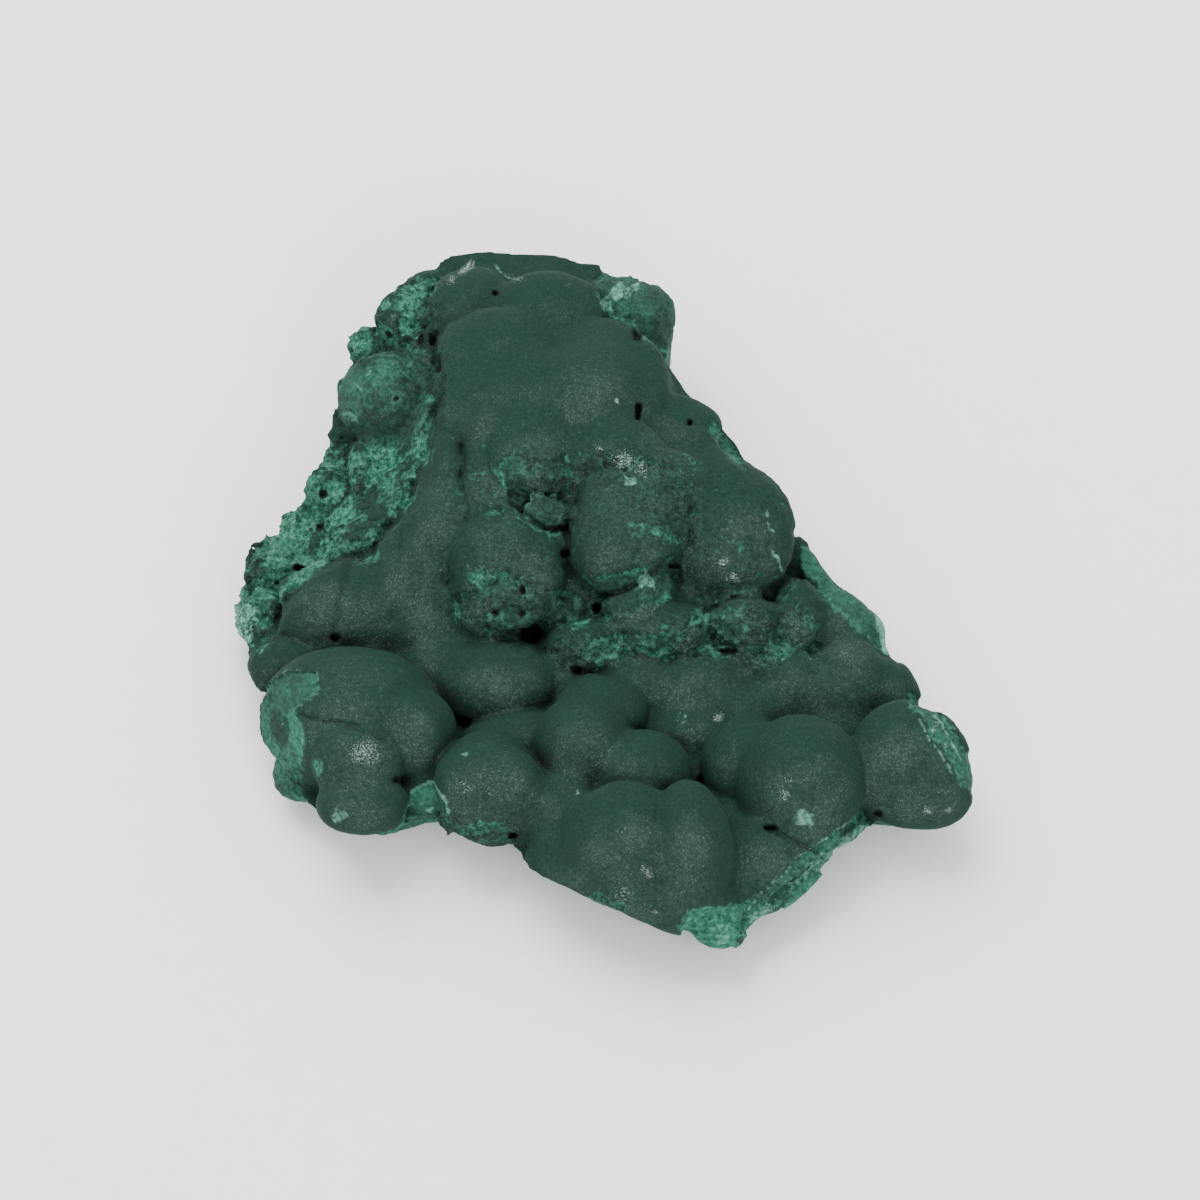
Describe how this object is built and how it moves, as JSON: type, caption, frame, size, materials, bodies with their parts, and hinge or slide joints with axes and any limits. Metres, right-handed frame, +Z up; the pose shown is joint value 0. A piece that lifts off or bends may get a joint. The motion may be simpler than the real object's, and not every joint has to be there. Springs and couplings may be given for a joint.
{
  "type": "malachite specimen",
  "caption": "Botryoidal malachite specimen: a low broken stone whose upper side is a crust of rounded dark green lobes and rough pale green fractures, lying on a flat underside.",
  "frame": {"origin": "middle of the stone's bounding box, on the flat underside that it rests on", "axes": "+Z up, +X to the right and +Y to the back as the crust is seen from the front"},
  "size_m": [0.1114, 0.1136, 0.0313],
  "materials": {
    "malachite": "velvety dark green botryoidal crust, matt, with paler green rough fractures"
  },
  "bodies": {
    "root": {"malachite_stone": "malachite"}
  },
  "joints": []
}
